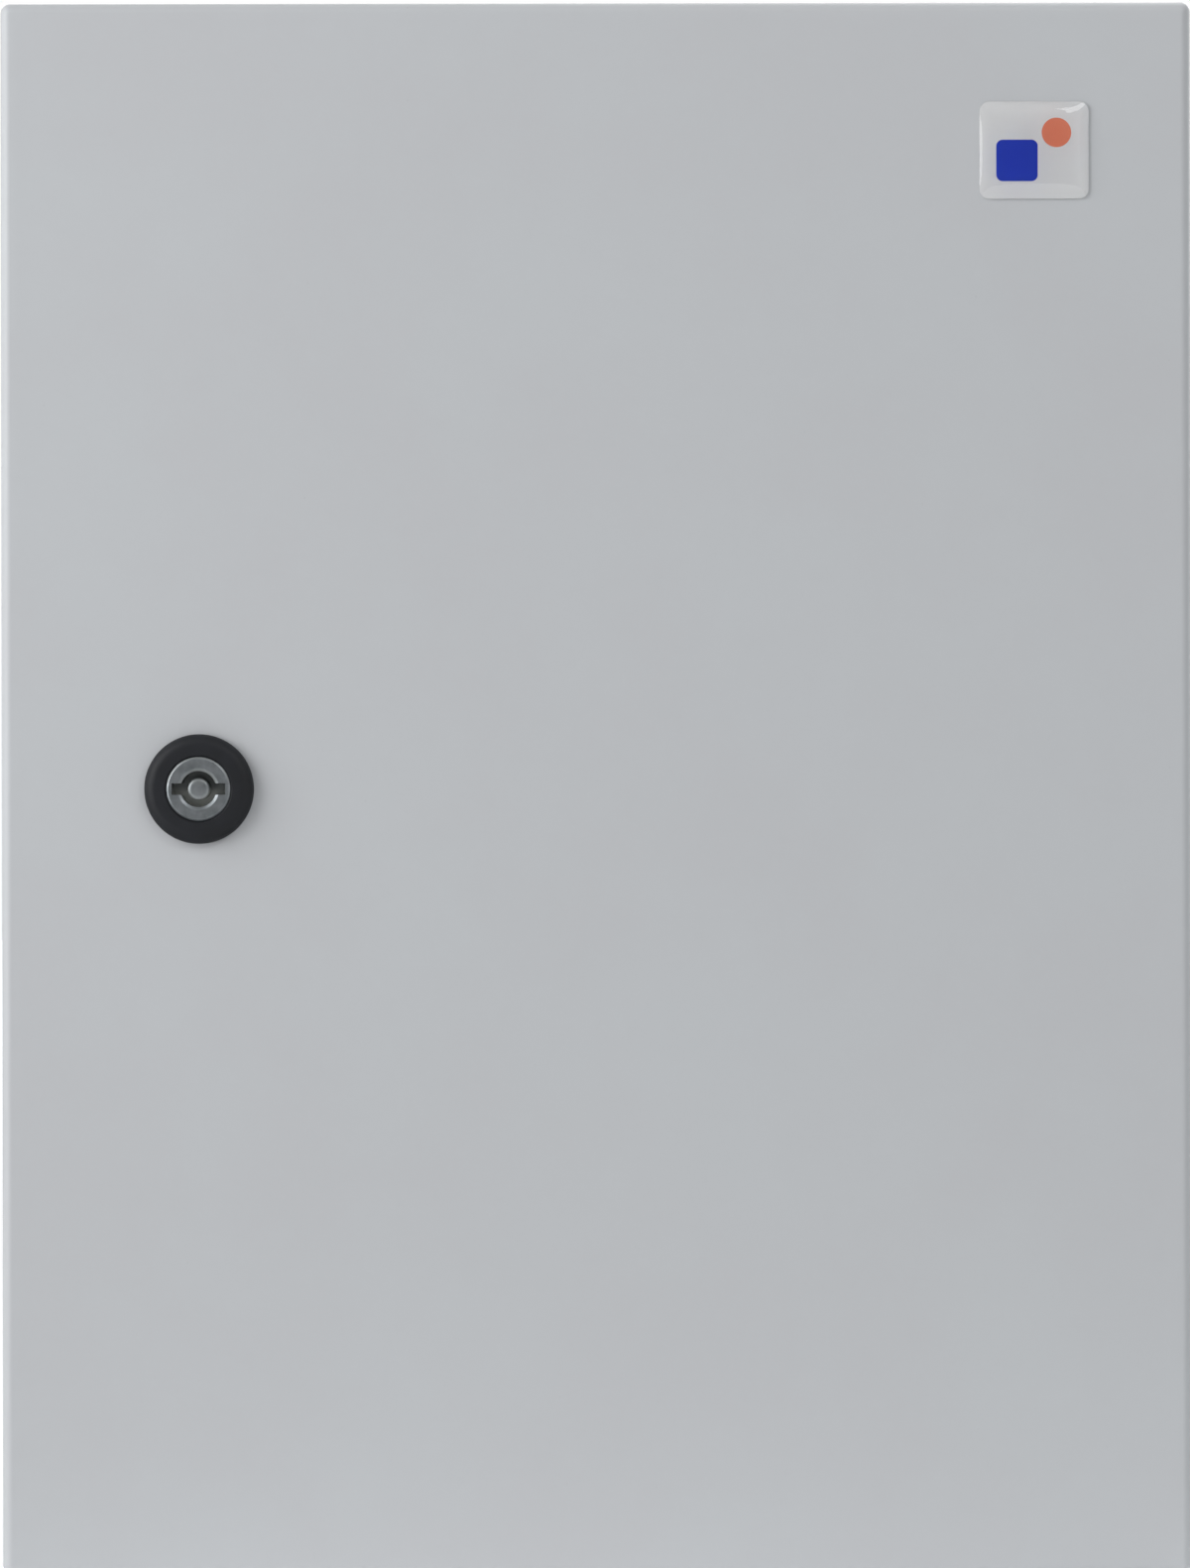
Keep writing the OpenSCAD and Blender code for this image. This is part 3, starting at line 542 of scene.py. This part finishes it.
def clear_resin(name):
    resin = Finish(name)
    ripple = resin.grain(6*mm, 1.0)
    return resin.surface({
        "Base Color": colour(255, 255, 255),
        "Transmission Weight": 1.0,
        "IOR": 1.49,
        "Roughness": 0.02 + ripple*0.02,
        "Normal": resin.bump(ripple, 0.01*mm),
        "Specular IOR Level": 1.0,
    })


dress(label_film("badge_print", colour(218, 218, 218), colour(213, 216, 219)), "badge_label")
resin = clear_resin("badge_resin")
finish_piece("badge_lens", resin_lens(), resin, "door", ["badge_dome"], 50)
blue_square = ink_field(-4.3*mm, -2.6*mm, 10.4*mm, 1.6*mm)
orange_disc = ink_field(5.6*mm, 4.4*mm, 7.4*mm, 3.69*mm)
for name, patch, tone in (("badge_ink_blue", blue_square, colour(46, 66, 180)),
                          ("badge_ink_orange", orange_disc, colour(223, 130, 103))):
    finish_piece(name, patch, screen_ink(name, tone), "door")


# ---- Lock ----
# A quarter-turn lock: a moulded black housing with a threaded barrel, clamped to the door by a
# nut over a rubber seal, and a die-cast insert for a double-bit key that turns the cam.

def moulded_black(name):
    nylon = Finish(name)
    spark = nylon.grain(0.22*mm, 2.0)
    flow = nylon.grain(7*mm, 2.0)
    return nylon.surface({
        "Base Color": nylon.mix(flow.between(0.3, 0.7), colour(15, 17, 21), colour(20, 22, 27)),
        "Roughness": 0.46 + spark*0.12 + flow*0.05,
        "Normal": nylon.bump(spark, 0.012*mm),
        "Specular IOR Level": 0.25,
    })


def cast_insert(name):
    """Die-cast zinc, dulled by handling. Its socket is painted with light and shade and made less
    metallic: pale below the lock's middle as if lit, and darker above it as if shaded. Painted shade
    darkens its chamfers above the middle and the lower part of its rim."""
    casting = Finish(name)
    grain = casting.grain(0.4*mm, 3.0)
    stain = casting.grain(2.5*mm, 4.0)
    depth = casting.node("ShaderNodeSeparateXYZ", None, {"Vector": casting.place}, out="Y")
    height = casting.node("ShaderNodeSeparateXYZ", None, {"Vector": casting.place}, out="Z")
    face = insert_low.y
    # Painted light and shade: more than 2 mm into the socket, the cast tone gives way to the painted
    # tones below.
    socket = depth.between(face + 0.5*mm, face + 2*mm)
    chamfer = depth.between(face + 0.02*mm, face + 0.1*mm)
    # Painted shade on the chamfers above the lock's middle.
    upper_chamfer_shade = chamfer*height.between(0.5*mm, 2*mm)
    # Painted shade on the lower part of the rim's chamfer.
    lower_rim_shade = chamfer*(1.0 - height.between(-7*mm, -2*mm))*(1.0 - socket)
    # Where the painted light and shade goes, and the metal is made less metallic: the socket, and the
    # upper chamfers at 0.7.
    socket_and_chamfer_shading = socket.math("MAXIMUM", socket, upper_chamfer_shade*0.7)
    # The painted tones: pale below the lock's middle as if lit, and darker above it as if shaded.
    thick = casting.mix(height.between(-1.5*mm, 1*mm), colour(196, 198, 194), colour(112, 116, 115))
    tone = casting.mix(stain.between(0.3, 0.75), colour(122, 126, 129), colour(102, 107, 109))
    tone = casting.mix(socket_and_chamfer_shading*0.9, tone, thick)
    # The dark painted shade on the rim's lower chamfer.
    tone = casting.mix(lower_rim_shade*0.6, tone, colour(48, 51, 54))
    return casting.surface({
        "Base Color": tone,
        "Metallic": 1.0 - socket_and_chamfer_shading*0.6,
        "Roughness": 0.30 + grain*0.14 + stain*0.06,
        "Normal": casting.bump(grain, 0.02*mm),
    })


housing_low, housing_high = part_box("lock_housing")
insert_low, insert_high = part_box("lock_rotor")
black_nylon = moulded_black("lock_black")
die_cast = cast_insert("lock_insert")
dress(cell_rubber("seal_rubber", colour(30, 31, 33), 0.5*mm), "lock_seal", "rotor_ring")
lock_x, lock_z = (housing_low.x + housing_high.x)/2, (housing_low.z + housing_high.z)/2
bezel_radius = (housing_high.x - housing_low.x)/2
bezel_height = door_low.y - housing_low.y
insert_radius = (insert_high.x - insert_low.x)/2
insert_face = insert_low.y - door_low.y          # a depth behind the door's front, so less than 0 here
barrel_radius, barrel_flat = 11*mm, 10.05*mm
barrel_end, collar_end = 23.2*mm, housing_high.y - door_low.y
barrel_pitch, running_gap = 1.5*mm, 0.05*mm      # of the moulded thread, and round the insert
neck_radius, neck_start = insert_radius - 1.6*mm, 15.2*mm
stop_from, stop_to = 331.5, 568.5                # the collar's ends, in degrees round the axis
rim_width, rim_drop = 0.55*mm, 0.28*mm           # chamfers round the insert and round its socket
mouth_width, mouth_drop = 0.75*mm, 0.36*mm
rim_worn, mouth_worn = (0.08*mm, 0.03*mm), (0.06*mm, 0.02*mm)  # where their outer edges round over
worn_run = 0.1*mm                                # and how far that reaches down the side
socket_radius, socket_deep = 4.5*mm, 8*mm
slot_span, slot_width = 13.5*mm, 2.9*mm
key_pin_radius, pin_sink, pin_round = 2.85*mm, 0.7*mm, (1.25*mm, 0.8*mm)
cam_square = 8*mm


def round_lock(radius, angle, depth):
    """A point from its distance to the lock's axis, its angle, and its depth behind the door's front."""
    return Vector((lock_x + radius*math.cos(angle), door_low.y + depth, lock_z - radius*math.sin(angle)))


def lathe(shape, section, sides=96):
    tube(shape, [[round_lock(r, 2*math.pi*k/sides, depth) for k in range(sides)] for r, depth in section])


def barrel_edge(angle, depth, chamfer=0.5*mm):
    """Radius of the barrel: a coarse moulded thread, cut off by the two flats."""
    cut = thread_depth(depth/barrel_pitch - angle/(2*math.pi), barrel_pitch)
    lead = max(0.0, chamfer - (barrel_end - depth))
    return min(barrel_radius - max(cut, lead), barrel_flat/max(abs(math.sin(angle)), 1e-6))


def carved(base, tool, operation):
    """The base with a tool's shape cut from it, or added to it."""
    solids = []
    for label, shape in (("base", base), ("tool", tool)):
        mesh = bpy.data.meshes.new(label)
        bmesh.ops.recalc_face_normals(shape, faces=shape.faces)
        shape.to_mesh(mesh)
        shape.free()
        solids.append(bpy.data.objects.new(label, mesh))
        bpy.context.scene.collection.objects.link(solids[-1])
    cut = solids[0].modifiers.new("cut", "BOOLEAN")
    cut.operation, cut.object, cut.solver = operation, solids[1], "EXACT"
    result = bmesh.new()
    result.from_object(solids[0], bpy.context.evaluated_depsgraph_get())
    for solid in solids:
        bpy.data.objects.remove(solid)
    return result


def barrel_shape(sides=120, rows_a_turn=8, shoulder=3*mm, bore_edge=0.45*mm, rear_edge=0.15*mm):
    """The bezel with its round shoulder, the threaded barrel behind it, and its stepped bore."""
    angles = [2*math.pi*k/sides for k in range(sides)]
    bore, neck_bore = insert_radius + running_gap, neck_radius + running_gap
    front = [(bore, -bezel_height + bore_edge), (bore + bore_edge, -bezel_height)]
    flat_end = bezel_radius - shoulder
    front += [(flat_end + shoulder*math.sin(math.radians(a)),
               -bezel_height + shoulder*(1 - math.cos(math.radians(a)))) for a in range(0, 91, 6)]
    front += [(bezel_radius, -rear_edge), (bezel_radius - rear_edge, 0.0)]
    rings = [[round_lock(r, a, depth) for a in angles] for r, depth in front]
    rows = round(barrel_end/(barrel_pitch/rows_a_turn))
    for k in range(rows + 1):
        depth = barrel_end*k/rows
        rings.append([round_lock(barrel_edge(a, depth), a, depth) for a in angles])
    back = [(neck_bore, barrel_end), (neck_bore, neck_start), (bore, neck_start)]
    rings += [[round_lock(r, a, depth) for a in angles] for r, depth in back]
    shape = bmesh.new()
    tube(shape, rings, closed=True)
    return shape


def collar_shape(steps=60, rooted=0.3*mm):
    """The part ring on the barrel's end, between whose ends the stop disc's arm turns."""
    inner, start = insert_radius + 0.2*mm, barrel_end - rooted
    rings = []
    for k in range(steps + 1):
        angle = math.radians(stop_from + (stop_to - stop_from)*k/steps)
        outer = barrel_edge(angle, 0.0) - 0.4*mm
        rings.append([round_lock(r, angle, depth) for r, depth in (
            (inner, start), (inner, collar_end), (outer, collar_end), (outer, start))])
    shape = bmesh.new()
    tube(shape, rings)
    return shape


def block(shape, width, height, front, back):
    """A square-edged block on the lock's axis, from one depth to another."""
    tube(shape, [[Vector((lock_x + sx*width/2, door_low.y + depth, lock_z + sz*height/2))
                  for sx, sz in ((1, 1), (-1, 1), (-1, -1), (1, -1))] for depth in (front, back)])


def insert_shape():
    """Turned outside, with a socket, a pin in its middle and two slots for the key's bits."""
    floor = insert_face + socket_deep
    neck_shoulder = neck_start - 0.1*mm
    body = bmesh.new()
    lathe(body, [(insert_radius - rim_width, insert_face),
                 (insert_radius - rim_worn[0], insert_face + rim_drop - rim_worn[1]),
                 (insert_radius, insert_face + rim_drop + worn_run), (insert_radius, neck_shoulder),
                 (neck_radius, neck_shoulder), (neck_radius, barrel_end)])
    socket = bmesh.new()
    proud = 0.3                  # how far the cutter stands out of the face, as a share of its cone
    lathe(socket, [(socket_radius + mouth_width*(1 + proud), insert_face - mouth_drop*proud),
                   (socket_radius + mouth_worn[0], insert_face + mouth_drop - mouth_worn[1]),
                   (socket_radius, insert_face + mouth_drop + worn_run), (socket_radius, floor)])
    body = carved(body, socket, "DIFFERENCE")
    slots = bmesh.new()
    block(slots, slot_span, slot_width, insert_face - 1*mm, floor)
    body = carved(body, slots, "DIFFERENCE")
    top = insert_face + pin_sink
    dome = [(key_pin_radius - pin_round[0]*(1 - math.sin(math.radians(a))),
             top + pin_round[1]*(1 - math.cos(math.radians(a)))) for a in range(0, 91, 10)]
    pin = bmesh.new()
    lathe(pin, dome + [(key_pin_radius, floor + 0.5*mm)], 48)
    body = carved(body, pin, "UNION")
    square = bmesh.new()
    block(square, cam_square, cam_square, barrel_end - 1*mm, insert_high.y - door_low.y)
    return carved(body, square, "UNION")


housing = carved(barrel_shape(), collar_shape(), "UNION")
finish_piece("lock_barrel", housing, black_nylon, "door", ["lock_housing"])
finish_piece("key_insert", insert_shape(), die_cast, "lock", ["lock_rotor"], 16)


# ---- Studio ----
# A pale floor in a white surround. A tall soft lamp at the left and a smaller one high on the right
# light the front, and three more the top, the right side and the back. The long lens stands square
# to the door.

def grey(level):
    return (level, level, level, 1.0)


def square_sheet(half, up, middle=(0, 0, 0)):
    """A flat sheet that reaches half each way from its middle, along X and along up."""
    across, up, middle = Vector((1, 0, 0)), Vector(up), Vector(middle)
    shape = bmesh.new()
    shape.faces.new([shape.verts.new(middle + across*(half*a) + up*(half*b))
                     for a, b in ((-1, -1), (1, -1), (1, 1), (-1, 1))])
    return shape


def studio_floor():
    """Pale, and lifted towards white where the lens or a gloss sees it, with its shadows kept.
    Round the foot of the enclosure it glows a little, and far off it fades into the surround."""
    ground = Finish("studio_floor")
    mottle = ground.grain(300*mm, 2.0)
    reach = ground.node("ShaderNodeVectorMath", {"operation": "LENGTH"}, {0: ground.place}, out="Value")
    glow = ground.mix(reach.between(0.28, 0.42), grey(0.33), grey(0.0))
    lifted = ground.mix(reach.between(0.8, 3.5), grey(0.42), grey(1.0))
    ground.surface({
        "Base Color": ground.mix(mottle, colour(234, 234, 234), colour(238, 238, 238)),
        "Roughness": 0.9,
        "Specular IOR Level": 0.1,
        "Emission Color": ground.mix(ground.seen(), glow, lifted),
        "Emission Strength": 1.0,
    })
    floor = set_down("studio_floor", square_sheet(6.0, (0, 1, 0), (0, 0, body_low.z)), ground)


def white_surround(level):
    """Lights the room evenly at this level, and is white wherever it is looked at."""
    room = bpy.data.worlds.new("white_surround")
    bpy.context.scene.world = room
    light = Finish("white_surround", room)
    dim, white = (light.node("ShaderNodeBackground", None, {"Color": tint, "Strength": strength})
                  for tint, strength in (((0.97, 0.985, 1.0, 1.0), level), (grey(1.0), 1.0)))
    shown = light.node("ShaderNodeMixShader", None, {0: light.seen(), 1: dim, 2: white})
    light.node("ShaderNodeOutputWorld", None, {"Surface": shown})


def soft_lamp(name, place, aim, width, height, watts):
    lamp = bpy.data.lights.new(name, "AREA")
    lamp.shape = "RECTANGLE"
    lamp.size, lamp.size_y = width, height
    lamp.energy = watts
    stand = bpy.data.objects.new(name, lamp)
    stand.location = place
    stand.rotation_euler = (Vector(aim) - Vector(place)).to_track_quat("-Z", "Y").to_euler()
    stand.visible_camera = False
    bpy.context.scene.collection.objects.link(stand)


def grey_card(place, side):
    """Stands behind the lens, so that polished faces turned to it keep their depth. Its edges fade."""
    felt = Finish("grey_card")
    radius = felt.node("ShaderNodeVectorMath", {"operation": "LENGTH"}, {0: felt.place}, out="Value")
    felt.surface({
        "Base Color": felt.mix(felt.grain(20*mm, 2.0), colour(60, 60, 62), colour(66, 66, 68)),
        "Roughness": 1.0,
        "Specular IOR Level": 0.0,
        "Emission Color": felt.mix(radius.between(side/8, side/2), grey(0.0), grey(1.0)),
        "Emission Strength": 1.0,
    })
    card = set_down("grey_card", square_sheet(side/2, (0, 0, 1)), felt)
    card.location = place
    card.visible_camera = card.visible_diffuse = card.visible_shadow = False


studio_floor()
white_surround(0.285)
soft_lamp("left_window", (-1.5, -1.05, 0.60), (0, -0.2, 0.10), 1.2, 1.6, 25.8)
soft_lamp("right_window", (0.76, -1.4, 1.0), (0, -0.2, 0), 1.0, 0.4, 5.0)
soft_lamp("sky_light", (0.25, 0.06, 0.70), (0.02, -0.1, 0.2), 0.7, 0.4, 1.6)
soft_lamp("right_fill", (0.9, 0.22, 0.2), (0.15, 0, 0), 0.5, 0.8, 1.1)
soft_lamp("back_fill", (0.5, 1.7, 0.9), (0, 0, 0.05), 1.6, 1.2, 9)
grey_card((0, -2.6, 0.2), 3.0)

lens_x, lens_z, lens_distance = -0.33*mm, 1.1*mm, 1.5
lens_roll = 0.1                                  # degrees
seen_height = 394.9*mm                           # what the lens takes in, at the door's face
camera = bpy.data.cameras.new("camera")
camera.sensor_fit = "VERTICAL"
camera.sensor_height = 24.0
camera.lens = camera.sensor_height*lens_distance/seen_height
tripod = bpy.data.objects.new("camera", camera)
tripod.location = (lens_x, door_low.y - lens_distance, lens_z)
tripod.rotation_euler = (math.radians(90), math.radians(lens_roll), 0)
bpy.context.scene.collection.objects.link(tripod)
bpy.context.scene.camera = tripod
bpy.context.scene.view_settings.view_transform = "Standard"
